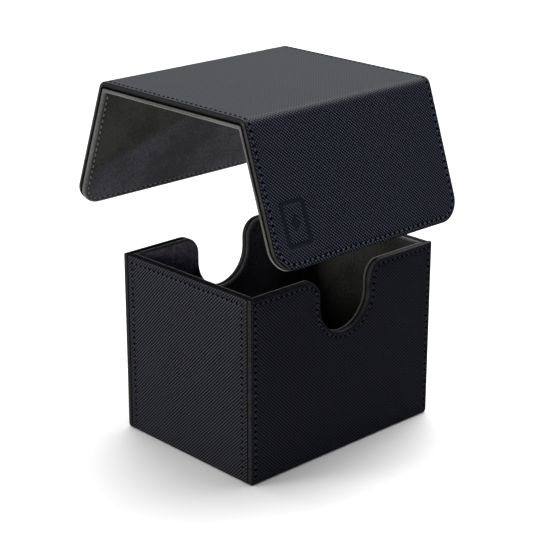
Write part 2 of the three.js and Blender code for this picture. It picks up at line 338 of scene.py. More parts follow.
def add_sheet(mesh, outline, profile, place, extra=(), closed=False, relief=flat_relief, turn=1):
    """Adds one sheet to a bmesh. A profile row is inset, depth, groove, material number.

    turn is -1 for the half of a strip whose s counts backwards on the cut sheet.
    """
    cut = cut_layer(mesh)
    unrolled = profile[0][0]
    rings = []
    for number, (inset, depth, groove, _) in enumerate(profile):
        if number:
            unrolled -= math.dist((inset, depth), profile[number - 1][:2])
        ring = []
        for (u, s), texture in zip(outline(inset), outline(unrolled)):
            vert = mesh.verts.new(place(u, s, depth - groove * groove_fade(outline, s)))
            vert[cut] = (texture[0], turn * texture[1], 0)
            ring.append(vert)
        rings.append(ring)
    for number in range(1, len(rings)):
        before, after = rings[number - 1], rings[number]
        for i in range(len(before) if closed else len(before) - 1):
            j = (i + 1) % len(before)
            face = mesh.faces.new((before[i], before[j], after[j], after[i]))
            face.material_index = profile[number][3]
    for ring, (inset, depth, _, material), lift in (
        (rings[0], profile[0], relief),
        (rings[-1], profile[-1], flat_relief),
    ):
        loop = outline(inset)
        inner = [p for p in extra if inside(p, loop) and clear_of(p, loop)]
        verts = list(ring)
        for u, s in inner:
            vert = mesh.verts.new(place(u, s, depth + lift(u, s)))
            vert[cut] = (u, turn * s, 0)
            verts.append(vert)
        for face in fill(loop, inner):
            mesh.faces.new([verts[i] for i in face]).material_index = material


SEAM_FOOT = 4.0


def groove_fade(outline, s):
    """1 where a seam's groove is full, 0 where the sheet has no seam."""
    start = getattr(outline, "seam_from", None)
    if start is None:
        return 1.0
    t = min(max((s - start) / SEAM_FOOT, 0), 1)
    return t * t * (3 - 2 * t)


tray_outline.seam_from = tray_rim - TRAY_HEIGHT + 1.0
end_outline.seam_from = 3.4
print(f"the wall's groove starts {tray_outline.seam_from:.1f} mm along the tray's strip")


# %% Turn a bmesh into a piece
def make_piece(name, mesh, materials):
    """Closes the mesh up, faces it outwards, gives it its cut-sheet UV map and smooth shading."""
    bmesh.ops.remove_doubles(mesh, verts=mesh.verts, dist=1e-6)
    bmesh.ops.dissolve_degenerate(mesh, edges=mesh.edges, dist=1e-7)
    bmesh.ops.holes_fill(mesh, edges=[e for e in mesh.edges if e.is_boundary])
    bmesh.ops.recalc_face_normals(mesh, faces=mesh.faces)
    cut = cut_layer(mesh)
    uv = mesh.loops.layers.uv.new("cut")
    for face in mesh.faces:
        face.smooth = True
        for corner in face.loops:
            corner[uv].uv = corner.vert[cut].xy * MM
    mesh.verts.layers.float_vector.remove(cut)
    data = bpy.data.meshes.new(name)
    mesh.to_mesh(data)
    mesh.free()
    data.set_sharp_from_angle(angle=math.radians(50))
    piece = bpy.data.objects.new(name, data)
    bpy.context.scene.collection.objects.link(piece)
    for material in materials:
        data.materials.append(material)
    print(f"{name}: {len(data.polygons)} faces")
    return piece


# %% [markdown]
# ## Linings
#
# The lining is softer and thicker than the covering, so its edges are fuller curves. In the tray it
# runs up one long wall, over the floor and up the other. In the lid it dives into each crease, where
# there is no board between it and the covering, and that makes the valley you see inside a crease.

# %% The linings' paths
LINING_BEND = LINING + 0.5
lining_top = tray_lining_high.z
lining_half_depth = -tray_lining_low.y
lining_floor = tray_lining_low.z
lining_flat = lining_half_depth - LINING_BEND
lining_rim = lining_flat + LINING_BEND * math.pi / 2 + lining_top - lining_floor - LINING_BEND


def tray_lining_outline(inset):
    """Half of the lining's strip. It is as wide on the floor as on the wall."""
    rows = stations(lining_flat, LINING_BEND, math.pi / 2, lining_rim - 4)
    side = [(BASE_HALF_LENGTH - inset, s) for s in rows]
    side += [(BASE_HALF_LENGTH - inset, lining_rim - inset)]
    rim = notched_rim(lining_rim, inset, drop=TRAY_HEIGHT - lining_top)
    return side + rim + [(-u, s) for u, s in reversed(side)]


CREASE_LIFT = LINING_START - SKIN - 0.1
CREASE_EASE = 3


def lid_lining_place(side, place):
    """Wraps the covering's place so that the lining lies under it, and touches it at the crease."""
    start = lid_flat[side]
    end = start + BEND_RADIUS * bend[side]

    def lined(u, s, w):
        away = max(start - s, s - end, 0)
        near = max(0, 1 - away / BESIDE_FOLD[0])
        inward = min(max((LID_HALF_WIDTH - 1 - abs(u)) / CREASE_EASE, 0), 1)
        lift = CREASE_LIFT * inward * near * near * (3 - 2 * near)
        return place(u, s, w - LINING_START + lift)

    return lined


print(f"the lining rises {CREASE_LIFT:.1f} mm into each crease")

# %% Profiles of a covered edge and a lined edge
SEAM_INSET = 2.2
END_SEAM_INSET = 3.2
SEAM_DIP = 0.35
GROOVE_SHAPE = ((1.0, 0), (0.7, 0.15), (0.4, 0.7), (0, 1), (-0.4, 0.7), (-0.7, 0.15), (-1.0, 0))
QUARTER = [math.radians(angle) for angle in (0, 18, 36, 54, 72, 90)]
# The third finish is near-black: painted shade in the groove at a turned lip and along edge lines, and
# it also covers the hidden glued faces.
FACE, EDGE, NEAR_BLACK, BY_SIDE = range(4)
COVER_EDGE = 1.0
COVER_LIP = 0.6
LINING_EDGE = 0.9


def groove_rows(seam, depth, dip):
    return [(seam + across, depth, dip * share, FACE) for across, share in GROOVE_SHAPE]


def cover_profile(seam, turned=EDGE, side=NEAR_BLACK, under=NEAR_BLACK):
    """From a covering's face, round its edge, and in under the board's pocket.

    turned, side and under are the finishes of the outer curve, the band beside it and the inner curve.
    """
    rows = groove_rows(seam, 0, SEAM_DIP) + [(COVER_EDGE + 0.1, 0, 0, FACE)]
    for t, finish in zip(QUARTER, (FACE, FACE, FACE, NEAR_BLACK, turned, turned)):
        rows.append((COVER_EDGE * (1 - math.sin(t)), -COVER_EDGE * (1 - math.cos(t)), 0, finish))
    rows.append((0, -SHELL + COVER_LIP + 0.2, 0, side))
    for t in QUARTER:
        depth = -SHELL + COVER_LIP * (1 - math.sin(t))
        rows.append((COVER_LIP * (1 - math.cos(t)), depth, 0, NEAR_BLACK if t > 1 else under))
    return rows + [(COVER_LIP + 0.05, depth, 0, NEAR_BLACK) for depth in (-SHELL, -SKIN)]


def lining_profile(seam, glued=0.7):
    """From the lining's soft face, round its cut edge, to the face that is glued down."""
    rows = groove_rows(seam, -LINING, -0.22) if seam else []
    rows += [(LINING_EDGE + gap, -LINING, 0, FACE) for gap in (0.1, 0)]
    for t in QUARTER[1:]:
        depth = -LINING + LINING_EDGE * (1 - math.cos(t))
        rows.append((LINING_EDGE * (1 - math.sin(t)), depth, 0, EDGE))
    for t in QUARTER:
        finish = NEAR_BLACK if t > 0.4 else EDGE
        rows.append((glued * (1 - math.cos(t)), -glued * (1 - math.sin(t)), 0, finish))
    return rows


print("rows in a covered edge:", len(cover_profile(SEAM_INSET)))

# %% [markdown]
# ## Stitches
#
# A machine seam is a row of short threads that rise out of one hole and dive into the next. A dashed
# bump could stand for it at a distance. Up close only a real shape catches the light, so each one is
# a small bent tube, under 2 mm long, set into the groove that the pull of the thread makes.

# %% Walk along a seam
def straight_runs(path, sharpest=0.7):
    """Splits a path where it turns sharply, so that a hole falls on each corner."""
    runs, run = [], [path[0]]
    for i in range(1, len(path)):
        run.append(path[i])
        if i + 1 == len(path):
            break
        before = Vector(path[i]) - Vector(path[i - 1])
        after = Vector(path[i + 1]) - Vector(path[i])
        if before.length > 1e-6 and after.length > 1e-6 and before.angle(after) > sharpest:
            runs.append(run)
            run = [path[i]]
    return runs + [run]


def along(path, distance):
    """The point at a distance along a path, and the direction there."""
    for start, end in zip(path, path[1:]):
        length = math.dist(start, end)
        if length > 1e-9 and distance <= length + 1e-6:
            share = distance / length
            point = Vector(start).lerp(Vector(end), share)
            return point, (Vector(end) - Vector(start)) / length
        distance -= length
    return Vector(path[-1]), (Vector(path[-1]) - Vector(path[-2])).normalized()


print("a path with one corner has", len(straight_runs([(0, 0), (9, 0), (9, 9)])), "straight runs")


# %% One stitch and one needle hole
THREAD = 0.3
HOLE = ((0.8, -0.12), (0.62, 0.04), (0.15, -0.06))
AROUND = 8
RISING = ((-0.5, -0.4), (-0.42, -0.05), (-0.25, 0.14))
ARCH = RISING + ((0, 0.2),) + tuple((-share, rise) for share, rise in reversed(RISING))


def close_tube(mesh, rings, material):
    """Joins rings of points into a tube, and caps both of its ends."""
    faces = [rings[0], rings[-1]]
    for before, after in zip(rings, rings[1:]):
        for k in range(AROUND):
            j = (k + 1) % AROUND
            faces.append((before[k], before[j], after[j], after[k]))
    for face in faces:
        mesh.faces.new(face).material_index = material


def add_stitch(mesh, cut, path, centre, length, place, surface, outward):
    """One thread that rises out of a hole and dives into the next."""
    rings = []
    for share, rise in ARCH:
        point, heading = along(path, centre + share * length)
        across = Vector((-heading.y, heading.x))
        ring = []
        for k in range(AROUND):
            angle = 2 * math.pi * k / AROUND
            spot = point + across * THREAD * math.cos(angle)
            height = surface + outward * (rise + 0.8 * THREAD * math.sin(angle))
            vert = mesh.verts.new(place(spot.x, spot.y, height))
            vert[cut] = (centre + share * length, angle * THREAD, 0)
            ring.append(vert)
        rings.append(ring)
    close_tube(mesh, rings, 0)


def add_hole(mesh, cut, middle, size, place, face, outward):
    """The puckered dimple that a needle leaves, as a low button on the face in near-black painted
    shade.
    """
    rings = []
    for radius, rise in HOLE:
        ring = []
        for k in range(AROUND):
            angle = 2 * math.pi * k / AROUND
            spot = middle + Vector((math.cos(angle), math.sin(angle))) * radius * size
            vert = mesh.verts.new(place(spot.x, spot.y, face + outward * rise))
            vert[cut] = (spot.x, spot.y, 0)
            ring.append(vert)
        rings.append(ring)
    close_tube(mesh, rings, 1)


print(f"a thread is {2 * THREAD:.1f} mm thick, and a stitch bends at {len(ARCH)} places")


# %% A row of stitches
PITCH = 2.8
SHARE_SHOWN = 0.6


def add_seam(mesh, path, place, face=0.0, dip=SEAM_DIP, outward=1, hole=1.0):
    """A row of stitches in a groove that is dip deep, in the sheet face that lies at height face."""
    cut = cut_layer(mesh)
    for number, run in enumerate(straight_runs(path)):
        length = sum(math.dist(a, b) for a, b in zip(run, run[1:]))
        count = max(1, round(length / PITCH))
        for i in range(min(number, 1), count + 1):
            middle = along(run, i * length / count)[0]
            add_hole(mesh, cut, middle, hole, place, face, outward)
        for i in range(count):
            centre = (i + 0.5) * length / count
            shown = SHARE_SHOWN * length / count
            add_stitch(mesh, cut, run, centre, shown, place, face - outward * dip, outward)


def seam_path(outline, inset, foot):
    """The part of an inset outline above its foot, in order, with its ends exactly at the foot."""
    loop = outline(inset)
    start = next(i for i, point in enumerate(loop) if point[1] < foot)
    loop = loop[start:] + loop[:start]
    first = next(i for i, point in enumerate(loop) if point[1] >= foot)
    row = [point for point in loop[first:] if point[1] >= foot]
    return [(row[0][0], foot)] + row + [(row[-1][0], foot)]


print(f"a stitch shows {SHARE_SHOWN * PITCH:.1f} mm of thread in every {PITCH} mm")


# %% [markdown]
# ## Finishes
#
# Patterns that several materials share are node groups, and each material sets them with its own
# values. The covering's emboss lives on the cut sheet's own UV map, in metres, so the pattern runs
# unbroken over each fold, just as it does on real cloth-grained leatherette.

# %% Groups, colours and sockets
def new_group(name, inputs, outputs):
    """An empty node group with named sockets, and its input and output nodes."""
    group = bpy.data.node_groups.new(name, "ShaderNodeTree")
    for label, kind, default in inputs:
        socket = group.interface.new_socket(name=label, in_out="INPUT", socket_type=f"NodeSocket{kind}")
        if default is not None:
            socket.default_value = default
    for label, kind in outputs:
        group.interface.new_socket(name=label, in_out="OUTPUT", socket_type=f"NodeSocket{kind}")
    return group, group.nodes.new("NodeGroupInput"), group.nodes.new("NodeGroupOutput")


def rgb(red, green, blue):
    """A colour in linear light, as the sockets take it."""
    return red, green, blue, 1


def feed(tree, socket, value):
    """Joins a socket to another one, or sets it to a plain value."""
    if isinstance(value, bpy.types.NodeSocket):
        tree.links.new(value, socket)
    elif value is not None:
        socket.default_value = value


print("black in linear light is", rgb(0, 0, 0))


# %% Nodes that work things out
def math_node(tree, operation, *values):
    node = tree.nodes.new("ShaderNodeMath")
    node.operation = operation
    for socket, value in zip(node.inputs, values):
        feed(tree, socket, value)
    return node.outputs[0]


def vector_node(tree, operation, *values):
    node = tree.nodes.new("ShaderNodeVectorMath")
    node.operation = operation
    for socket, value in zip(node.inputs, values):
        feed(tree, socket, value)
    return node.outputs[0]


def ramp_node(tree, value, low, high, to_low, to_high, smooth=True):
    """Maps low..high to to_low..to_high, and holds the ends."""
    node = tree.nodes.new("ShaderNodeMapRange")
    node.interpolation_type = "SMOOTHSTEP" if smooth else "LINEAR"
    for socket, given in zip(node.inputs, (value, low, high, to_low, to_high)):
        feed(tree, socket, given)
    return node.outputs[0]


def noise_node(tree, coordinates, scale, detail=2.0, roughness=0.5):
    node = tree.nodes.new("ShaderNodeTexNoise")
    feed(tree, node.inputs["Vector"], coordinates)
    feed(tree, node.inputs["Scale"], scale)
    node.inputs["Detail"].default_value = detail
    node.inputs["Roughness"].default_value = roughness
    return node.outputs["Fac"]


def split_node(tree, vector):
    """The x, y and z of a vector. On the cut sheet the first two are u and s."""
    node = tree.nodes.new("ShaderNodeSeparateXYZ")
    feed(tree, node.inputs[0], vector)
    return node.outputs


def mix_colours(tree, factor, first, second):
    node = tree.nodes.new("ShaderNodeMix")
    node.data_type = "RGBA"
    feed(tree, node.inputs[0], factor)
    feed(tree, node.inputs[6], first)
    feed(tree, node.inputs[7], second)
    return node.outputs[2]


node_helpers = (math_node, vector_node, ramp_node, noise_node, split_node, mix_colours)
print("helpers that add one node each:", ", ".join(helper.__name__ for helper in node_helpers))


# %% The woven emboss, as a group
def make_weave():
    """Two crossing families of slanted ribs. The stronger one leans one way, and is cut into beads."""
    group, given, result = new_group(
        "Woven emboss",
        [("Sheet", "Vector", None), ("Ribs per metre", "Float", 665.0), ("Cross ribs", "Float", 0.65)],
        [("Height", "Float"), ("Bead", "Float")],
    )
    waver = noise_node(group, given.outputs["Sheet"], 90.0)
    waver = math_node(group, "MULTIPLY_ADD", waver, 0.5, -0.25)
    u, s, _ = split_node(group, given.outputs["Sheet"])
    waves = []
    for operation in ("ADD", "SUBTRACT"):
        slant = math_node(group, operation, u, s)
        turns = math_node(group, "MULTIPLY", slant, given.outputs["Ribs per metre"])
        turns = math_node(group, "ADD", turns, waver)
        wave = math_node(group, "COSINE", math_node(group, "MULTIPLY", turns, 2 * math.pi))
        waves.append(math_node(group, "MULTIPLY_ADD", wave, 0.5, 0.5))
    ribs, crossing = waves
    plain = math_node(group, "SUBTRACT", 1.0, given.outputs["Cross ribs"])
    beads = math_node(group, "MULTIPLY_ADD", crossing, given.outputs["Cross ribs"], plain)
    height = math_node(group, "MULTIPLY", ribs, beads)
    feed(group, result.inputs["Height"], height)
    feed(group, result.inputs["Bead"], math_node(group, "MULTIPLY", height, ribs))
    return group


weave = make_weave()
print("weave group:", [item.name for item in weave.interface.items_tree])


# %% Soft mottling, as a group
def make_mottle():
    """Slow and quick noise together: the unevenness of handled cloth, leather, board or metal."""
    group, given, result = new_group(
        "Mottle",
        [("Coordinates", "Vector", None), ("Slow", "Float", 60.0), ("Quick", "Float", 2500.0)],
        [("Slow", "Float"), ("Quick", "Float")],
    )
    slow = noise_node(group, given.outputs["Coordinates"], given.outputs["Slow"], 3.0)
    quick = noise_node(group, given.outputs["Coordinates"], given.outputs["Quick"], 4.0, 0.65)
    feed(group, result.inputs["Slow"], slow)
    feed(group, result.inputs["Quick"], quick)
    return group


mottle = make_mottle()
print("mottle group:", [item.name for item in mottle.interface.items_tree])


# %% Put a group in a material
def place_group(tree, group, **values):
    """Puts a group in a tree. Its inputs are set by name, with _ for a space."""
    node = tree.nodes.new("ShaderNodeGroup")
    node.node_tree = group
    for label, value in values.items():
        feed(tree, node.inputs[label.replace("_", " ")], value)
    return node.outputs


def principled(name):
    """A new material, its node tree and its shader."""
    material = bpy.data.materials.new(name)
    material.use_nodes = True
    tree = material.node_tree
    return material, tree, tree.nodes["Principled BSDF"]


def cut_sheet(tree):
    """Where a point lies on the flat, cut sheet, in metres."""
    node = tree.nodes.new("ShaderNodeUVMap")
    node.uv_map = "cut"
    return node.outputs[0]


def object_space(tree):
    return tree.nodes.new("ShaderNodeTexCoord").outputs["Object"]


def bump(tree, shader, height, distance):
    node = tree.nodes.new("ShaderNodeBump")
    node.inputs["Strength"].default_value = 1.0
    node.inputs["Distance"].default_value = distance
    feed(tree, node.inputs["Height"], height)
    feed(tree, shader.inputs["Normal"], node.outputs[0])


print("groups ready to place:", [group.name for group in bpy.data.node_groups])

# %% [markdown]
# ## The pressed mark
#
# Makers press a mark into a flap with a hot die. Ours is plain: a playing card's outline round one
# pip. It could be drawn as a curve and cut in, but a distance formula serves twice. The mesh sinks
# where the formula says so, and the same formula in nodes flattens the weave there.

# %% The pressed mark
MARK_U, MARK_S = -38.0, 41.0
MARK_HALF_WIDTH, MARK_HALF_HEIGHT = 6.6, 9.4
MARK_BAND = 2.0
MARK_CORNER = 2.0
PIP_HALF_WIDTH, PIP_HALF_HEIGHT = 2.5, 3.6


def mark_distance(u, s):
    """How far a point of the front flap lies outside the mark, a card's outline round a pip."""
    across, down = abs(u - MARK_U), abs(s - MARK_S)
    beside = across - MARK_HALF_WIDTH + MARK_CORNER
    below = down - MARK_HALF_HEIGHT + MARK_CORNER
    card = math.hypot(max(beside, 0), max(below, 0)) + min(max(beside, below), 0) - MARK_CORNER
    pip = (across / PIP_HALF_WIDTH + down / PIP_HALF_HEIGHT - 1) * PIP_HALF_WIDTH * 0.8
    return min(max(card, -MARK_BAND - card), pip)


def make_mark(front_s):
    """The same mark as a mask on the cut sheet: 1 where the weave is pressed flat."""
    group, given, result = new_group(
        "Pressed mark", [("Sheet", "Vector", None)], [("Pressed", "Float")]
    )
    u, s, _ = split_node(group, given.outputs["Sheet"])
    offsets = []
    for socket, centre in ((u, MARK_U * MM), (s, -front_s * MM)):
        offsets.append(math_node(group, "ABSOLUTE", math_node(group, "SUBTRACT", socket, centre)))
    corner = MARK_CORNER * MM
    past = [
        math_node(group, "SUBTRACT", offset, half * MM - corner)
        for offset, half in zip(offsets, (MARK_HALF_WIDTH, MARK_HALF_HEIGHT))
    ]
    squares = [math_node(group, "POWER", math_node(group, "MAXIMUM", p, 0.0), 2.0) for p in past]
    outside = math_node(group, "SQRT", math_node(group, "ADD", *squares))
    within = math_node(group, "MINIMUM", math_node(group, "MAXIMUM", *past), 0.0)
    card = math_node(group, "SUBTRACT", math_node(group, "ADD", outside, within), corner)
    hollow = math_node(group, "SUBTRACT", -MARK_BAND * MM, card)
    band = math_node(group, "MAXIMUM", card, hollow)
    across = math_node(group, "DIVIDE", offsets[0], PIP_HALF_WIDTH * MM)
    down = math_node(group, "DIVIDE", offsets[1], PIP_HALF_HEIGHT * MM)
    pip = math_node(group, "SUBTRACT", math_node(group, "ADD", across, down), 1.0)
    pip = math_node(group, "MULTIPLY", pip, PIP_HALF_WIDTH * 0.8 * MM)
    distance = math_node(group, "MINIMUM", band, pip)
    feed(group, result.inputs[0], ramp_node(group, distance, -0.2 * MM, 0.25 * MM, 1.0, 0.0))
    return group


front_mark_s = lid_flat["front"] + BEND_RADIUS * bend["front"] + MARK_S
front_mark_s -= (BEND_RADIUS - CREASE_DEPTH) * math.tan(bend["front"] / 2)
mark_group = make_mark(front_mark_s)
print(f"the mark's middle is {front_mark_s:.1f} mm along the strip")


# %% [markdown]
# ## The covering's finish
#
# Imitation leather gets its weave from an embossed roller, and wear polishes its beads.
# An image could carry that pattern, but a formula stays sharp however near we look. The beads'
# height drives everything: colour, gloss and bump all rise and fall with it. The colour paints light:
# shade in the weave's hollows and a highlight on its beads.

# %% The woven covering
# How far the top panel's beads are lifted towards one even colour: a painted sheen.
SHEEN_LEVEL = 0.365


def strip_reach(tree, sheet):
    """How far along its strip a point lies, in metres from the strip's middle."""
    return math_node(tree, "ABSOLUTE", split_node(tree, sheet)[1])


def make_covering(name, pit_shade, bead_highlight, calm_sheen_until=0, top_panel_sheen=None, marked=False):
    """Black imitation leather, dull in the weave's hollows and glossier on its beads. Its colour paints
    light: painted shade in the hollows and a painted highlight on the beads.

    As far as a given reach along the strip the cloth is drawn tight over a panel: its beads are
    flatter there, and their colour is a painted sheen, evened out and tinted.
    """
    material, tree, shader = principled(name)
    sheet = cut_sheet(tree)
    woven = place_group(tree, weave, Sheet=sheet)
    uneven = place_group(tree, mottle, Coordinates=sheet)
    height, bead = woven["Height"], woven["Bead"]
    # painted sheen: over the top panel the beads' colour is evened out and given the sheen tint, in
    # place of the grazing reflection there; the flatter bump is the tight cloth.
    if calm_sheen_until:
        reach = strip_reach(tree, sheet)
        loose = ramp_node(tree, reach, (calm_sheen_until - 4) * MM, (calm_sheen_until + 6) * MM, 0.3, 1.0)
        level = math_node(tree, "MULTIPLY_ADD", loose, -SHEEN_LEVEL, SHEEN_LEVEL)
        bead = math_node(tree, "MULTIPLY_ADD", bead, loose, level)
        height = math_node(tree, "MULTIPLY", height, loose)
        share = ramp_node(tree, loose, 0.3, 1.0, 0.0, 1.0, smooth=False)
        bead_highlight = mix_colours(tree, share, top_panel_sheen, bead_highlight)
    # painted light: painted shade in the weave's hollows, rising to a painted highlight on its beads
    colour = mix_colours(tree, ramp_node(tree, bead, 0.1, 0.95, 0.0, 1.0), pit_shade, bead_highlight)
    if marked:
        pressed = place_group(tree, mark_group, Sheet=sheet)["Pressed"]
        kept = math_node(tree, "SUBTRACT", 1.0, pressed)
        height = math_node(tree, "MULTIPLY", height, kept)
        colour = mix_colours(tree, pressed, colour, rgb(0.005, 0.0075, 0.015))
    feed(tree, shader.inputs["Base Color"], colour)
    gloss = math_node(tree, "MULTIPLY_ADD", uneven["Slow"], 0.2, height)
    feed(tree, shader.inputs["Roughness"], ramp_node(tree, gloss, 0.0, 1.0, 0.7, 0.5, smooth=False))
    shader.inputs["Specular IOR Level"].default_value = 0.12
    feed(tree, shader.inputs["Coat Weight"], math_node(tree, "MULTIPLY_ADD", height, 0.05, 0.12))
    shader.inputs["Coat Roughness"].default_value = 0.45
    grain = math_node(tree, "MULTIPLY_ADD", uneven["Quick"], 0.12, height)
    grain = math_node(tree, "MULTIPLY_ADD", uneven["Slow"], 0.8, grain)
    bump(tree, shader, grain, 0.00018)
    return material


lid_look = {
    "pit_shade": rgb(0.0008, 0.001, 0.002),
    "bead_highlight": rgb(0.071, 0.078, 0.134),
    "calm_sheen_until": lid_flat["front"],
    # the sheen tint painted over the top panel
    "top_panel_sheen": rgb(0.077, 0.088, 0.112),
}
lid_covering = make_covering("lid_covering", **lid_look)
marked_covering = make_covering("lid_covering_with_mark", marked=True, **lid_look)
# painted shade: the tray's walls take a darker copy of the same leather, so the front wall comes out
# darker than its light makes it
wall_covering_painted_shade = make_covering(
    "wall_covering_painted_shade", rgb(0.003, 0.0032, 0.0055), rgb(0.038, 0.041, 0.064)
)
end_covering = make_covering(
    "end_covering", rgb(0.0022, 0.0023, 0.0033), rgb(0.069, 0.071, 0.09)
)
print("coverings:", [m.name for m in (lid_covering, marked_covering, wall_covering_painted_shade, end_covering)])


# %% The covering over an edge
def make_stretched(name, dark, light, painted_shadow_until=0, specular=0.3):
    """The same leather pulled over an edge: the weave is gone, and fine wrinkles run across.

    As far as a given reach along the strip the edge is darker: the seam groove's shadow, painted on.
    """
    material, tree, shader = principled(name)
    uneven = place_group(tree, mottle, Coordinates=cut_sheet(tree), Slow=400.0, Quick=1800.0)
    wrinkles = math_node(tree, "MULTIPLY", uneven["Slow"], 0.4)
    wrinkles = math_node(tree, "MULTIPLY_ADD", uneven["Quick"], 0.6, wrinkles)
    colour = mix_colours(tree, ramp_node(tree, wrinkles, 0.35, 0.65, 0, 1), dark, light)
    # painted shadow: the edge turns near-black over the top panel's ends
    if painted_shadow_until:
        reach = strip_reach(tree, cut_sheet(tree))
        unshadowed = ramp_node(tree, reach, painted_shadow_until * MM, (painted_shadow_until + 4) * MM, 0.0, 1.0)
        colour = mix_colours(tree, unshadowed, rgb(0.004, 0.004, 0.005), colour)
    feed(tree, shader.inputs["Base Color"], colour)
    feed(tree, shader.inputs["Roughness"], ramp_node(tree, wrinkles, 0.3, 0.7, 0.75, 0.55))
    shader.inputs["Specular IOR Level"].default_value = specular
    bump(tree, shader, wrinkles, 0.0001)
    return material


# its near-black end over the top panel's ends is a painted shadow
lid_stretched = make_stretched(
    "lid_covering_edge", rgb(0.013, 0.012, 0.011), rgb(0.034, 0.031, 0.028), lid_flat["front"]
)
tray_stretched = make_stretched(
    "tray_stretched", rgb(0.008, 0.008, 0.009), rgb(0.021, 0.021, 0.0225), specular=0.2
)
# painted shade: near-black for the groove where a covering's lip meets the lining
lid_groove_shade = make_stretched(
    "lid_groove_shade", rgb(0.001, 0.001, 0.001), rgb(0.005, 0.005, 0.005), specular=0.05
)
tray_groove_shade = make_stretched(
    "tray_groove_shade", rgb(0.002, 0.002, 0.0022), rgb(0.008, 0.008, 0.0084), specular=0.1
)
print("edges:", [m.name for m in (lid_stretched, tray_stretched, lid_groove_shade, tray_groove_shade)])

# %% [markdown]
# ## The linings' finish
#
# Brushed microfibre looks lighter or darker by the way its nap was last brushed. Hair strands would
# be too heavy for so short a nap, so two scales of noise make the patches and a little sheen makes
# the pale rim. A slanting line parts off a lighter corner: in the lid a plain lighter patch, and in
# the tray painted light on the back wall near its rim, where the lid above would leave shade.

# %% Linings
def patch_mask(tree, lean, start, width=5.0):
    """1 beyond a slanting line over the cut sheet, where a lining takes a lighter colour."""
    u, s, _ = split_node(tree, cut_sheet(tree))
    slanted = math_node(tree, "MULTIPLY_ADD", u, lean, s)
    return ramp_node(tree, slanted, (start - width / 2) * MM, (start + width / 2) * MM, 0.0, 1.0)


def make_lining(name, dark, light, sheen, lighter_patch=None):
    """Brushed microfibre: a short nap that lies in patches, so its grey is never quite even.

    The patch, if given, is the slant and start of a lighter part beyond a slanting line, and its two
    greys.
    """
    material, tree, shader = principled(name)
    place = object_space(tree)
    uneven = place_group(tree, mottle, Coordinates=place, Slow=38.0, Quick=900.0)
    nap = math_node(tree, "MULTIPLY", uneven["Slow"], 0.55)
    nap = math_node(tree, "MULTIPLY_ADD", uneven["Quick"], 0.45, nap)
    raised = ramp_node(tree, nap, 0.38, 0.62, 0, 1)
    colour = mix_colours(tree, raised, dark, light)
    if lighter_patch:
        lean, start, patch_dark, patch_light = lighter_patch
        patch_colour = mix_colours(tree, raised, patch_dark, patch_light)
        # a lighter part beyond a slanting line; in the tray's lining it is painted light
        colour = mix_colours(tree, patch_mask(tree, lean, start), colour, patch_colour)
    feed(tree, shader.inputs["Base Color"], colour)
    feed(tree, shader.inputs["Roughness"], ramp_node(tree, nap, 0.3, 0.7, 1.0, 0.85))
    shader.inputs["Specular IOR Level"].default_value = 0.2
    shader.inputs["Sheen Weight"].default_value = sheen
    shader.inputs["Sheen Roughness"].default_value = 0.4
    bump(tree, shader, nap, 0.0003)
    return material


lid_patch = (0.405, 66, rgb(0.021, 0.0195, 0.025), rgb(0.058, 0.0545, 0.065))
lid_lining = make_lining(
    "lid_lining", rgb(0.0115, 0.0115, 0.0103), rgb(0.031, 0.031, 0.028), 0.25, lid_patch
)
lid_lining_edge = make_lining(
    "lid_lining_cut_edge", rgb(0.05, 0.05, 0.048), rgb(0.092, 0.092, 0.088), 0.4
)
# painted light: a lighter patch on the tray's lining near the rim, where the lid above leaves shade
rim_painted_light = (-0.6, lining_rim - 4, rgb(0.06, 0.055, 0.078), rgb(0.19, 0.172, 0.225))
tray_lining = make_lining(
    "tray_lining", rgb(0.009, 0.0095, 0.0135), rgb(0.03, 0.031, 0.041), 0.05, rim_painted_light
)
end_lining = make_lining("end_lining", rgb(0.011, 0.0108, 0.0095), rgb(0.034, 0.033, 0.03), 0.25)
tray_lining_edge = make_lining(
    "tray_lining_cut_edge", rgb(0.03, 0.03, 0.031), rgb(0.06, 0.06, 0.06), 0.3
)
print("stroked both ways:", [m.name for m in (lid_lining, tray_lining)])

# %% [markdown]
# ## Thread, board and magnets
#
# Thread is a twist of strands, so slanting stripes over each stitch's own length are enough, where a
# modelled twist would cost many faces. Board and magnets hide in the walls. They keep the frame's
# shapes and only get a finish, for whoever takes the box apart.

# %% Thread, board and magnets
def make_thread(name, dark, light, specular=0.4):
    """Waxed thread of twisted strands."""
    material, tree, shader = principled(name)
    u, s, _ = split_node(tree, cut_sheet(tree))
    slant = math_node(tree, "ADD", u, s)
    strands = math_node(tree, "SINE", math_node(tree, "MULTIPLY", slant, 2 * math.pi / (0.5 * MM)))
    height = math_node(tree, "MULTIPLY_ADD", strands, 0.5, 0.5)
    feed(tree, shader.inputs["Base Color"], mix_colours(tree, height, dark, light))
    feed(tree, shader.inputs["Roughness"], ramp_node(tree, height, 0.0, 1.0, 0.75, 0.5))
    shader.inputs["Specular IOR Level"].default_value = specular
    bump(tree, shader, height, 0.00005)
    return material


def make_board():
    """Grey board: pressed paper fibre with darker flecks."""
    material, tree, shader = principled("board")
    uneven = place_group(tree, mottle, Coordinates=object_space(tree), Slow=300.0, Quick=2500.0)
    flecks = ramp_node(tree, uneven["Quick"], 0.55, 0.7, 0.0, 1.0)
    colour = mix_colours(tree, flecks, rgb(0.30, 0.27, 0.22), rgb(0.16, 0.14, 0.11))
    feed(tree, shader.inputs["Base Color"], colour)
    feed(tree, shader.inputs["Roughness"], ramp_node(tree, uneven["Slow"], 0.3, 0.7, 0.85, 0.95))
    bump(tree, shader, uneven["Quick"], 0.00008)
    return material


